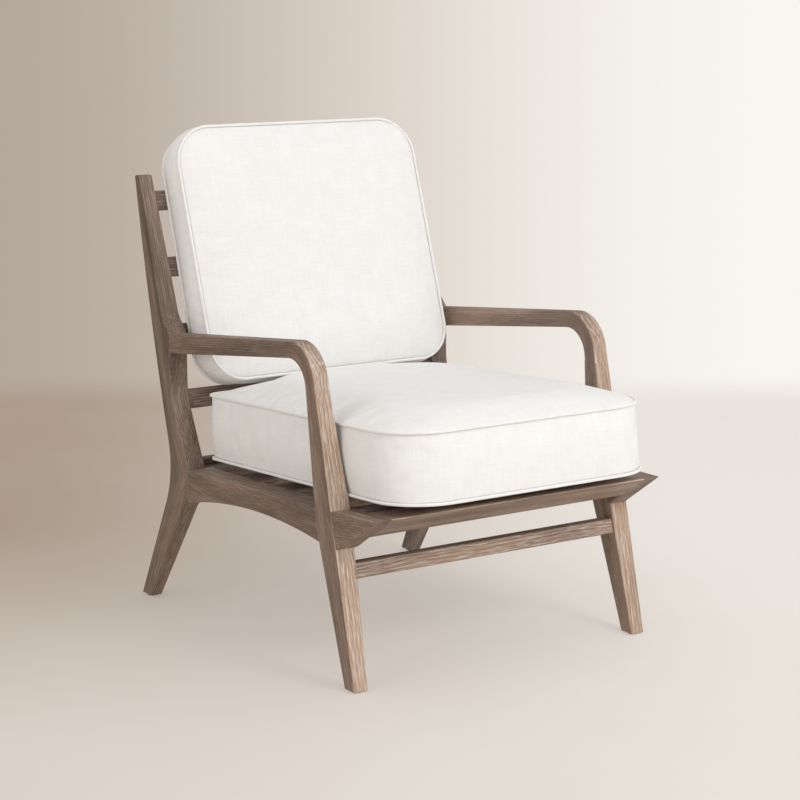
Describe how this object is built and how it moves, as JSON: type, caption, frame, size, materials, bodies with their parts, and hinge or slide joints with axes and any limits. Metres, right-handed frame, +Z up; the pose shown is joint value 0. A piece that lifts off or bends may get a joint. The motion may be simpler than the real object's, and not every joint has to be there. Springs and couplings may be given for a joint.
{
  "type": "armchair",
  "caption": "Low wooden lounge armchair with raked side frames, bent arms, a raked slatted back and loose boxed seat and back cushions.",
  "frame": {"origin": "centre of the bounding box on the floor", "axes": "+Z up, the chair faces -Y, +X is to the right of someone who looks at its front"},
  "size_m": [0.65, 0.8824, 0.9376],
  "materials": {
    "oak": "weathered open grain, matt",
    "dowel_beech": "plain turned",
    "screw_steel": "zinc plated",
    "glide_nylon": "moulded",
    "cover_linen": "slubby plain weave",
    "welt_linen": "bias cut self welt",
    "foam": "open cell foam in a wadding wrap"
  },
  "bodies": {
    "root": {"left_front_leg": "oak", "left_rear_post": "oak", "left_arm": "oak", "left_side_rail": "oak", "left_horn": "oak", "left_slat_cleat": "oak", "right_front_leg": "oak", "right_rear_post": "oak", "right_arm": "oak", "right_side_rail": "oak", "right_horn": "oak", "right_slat_cleat": "oak", "front_rail": "oak", "front_stretcher": "oak", "rear_rail": "oak", "back_slat_1": "oak", "back_slat_2": "oak", "back_slat_3": "oak", "back_slat_4": "oak", "seat_slat_1": "oak", "seat_slat_2": "oak", "seat_slat_3": "oak", "seat_slat_4": "oak", "seat_slat_5": "oak", "side_rail_dowels": "dowel_beech", "arm_dowels": "dowel_beech", "horn_dowels": "dowel_beech", "stretcher_dowels": "dowel_beech", "rear_rail_dowels": "dowel_beech", "back_slat_dowels": "dowel_beech", "seat_slat_screws": "screw_steel", "cleat_screws": "screw_steel", "foot_glides": "glide_nylon", "seat_cushion_cover": "cover_linen", "seat_cushion_core": "foam", "seat_cushion_welts": "welt_linen", "back_cushion_cover": "cover_linen", "back_cushion_core": "foam", "back_cushion_welts": "welt_linen"}
  },
  "joints": []
}
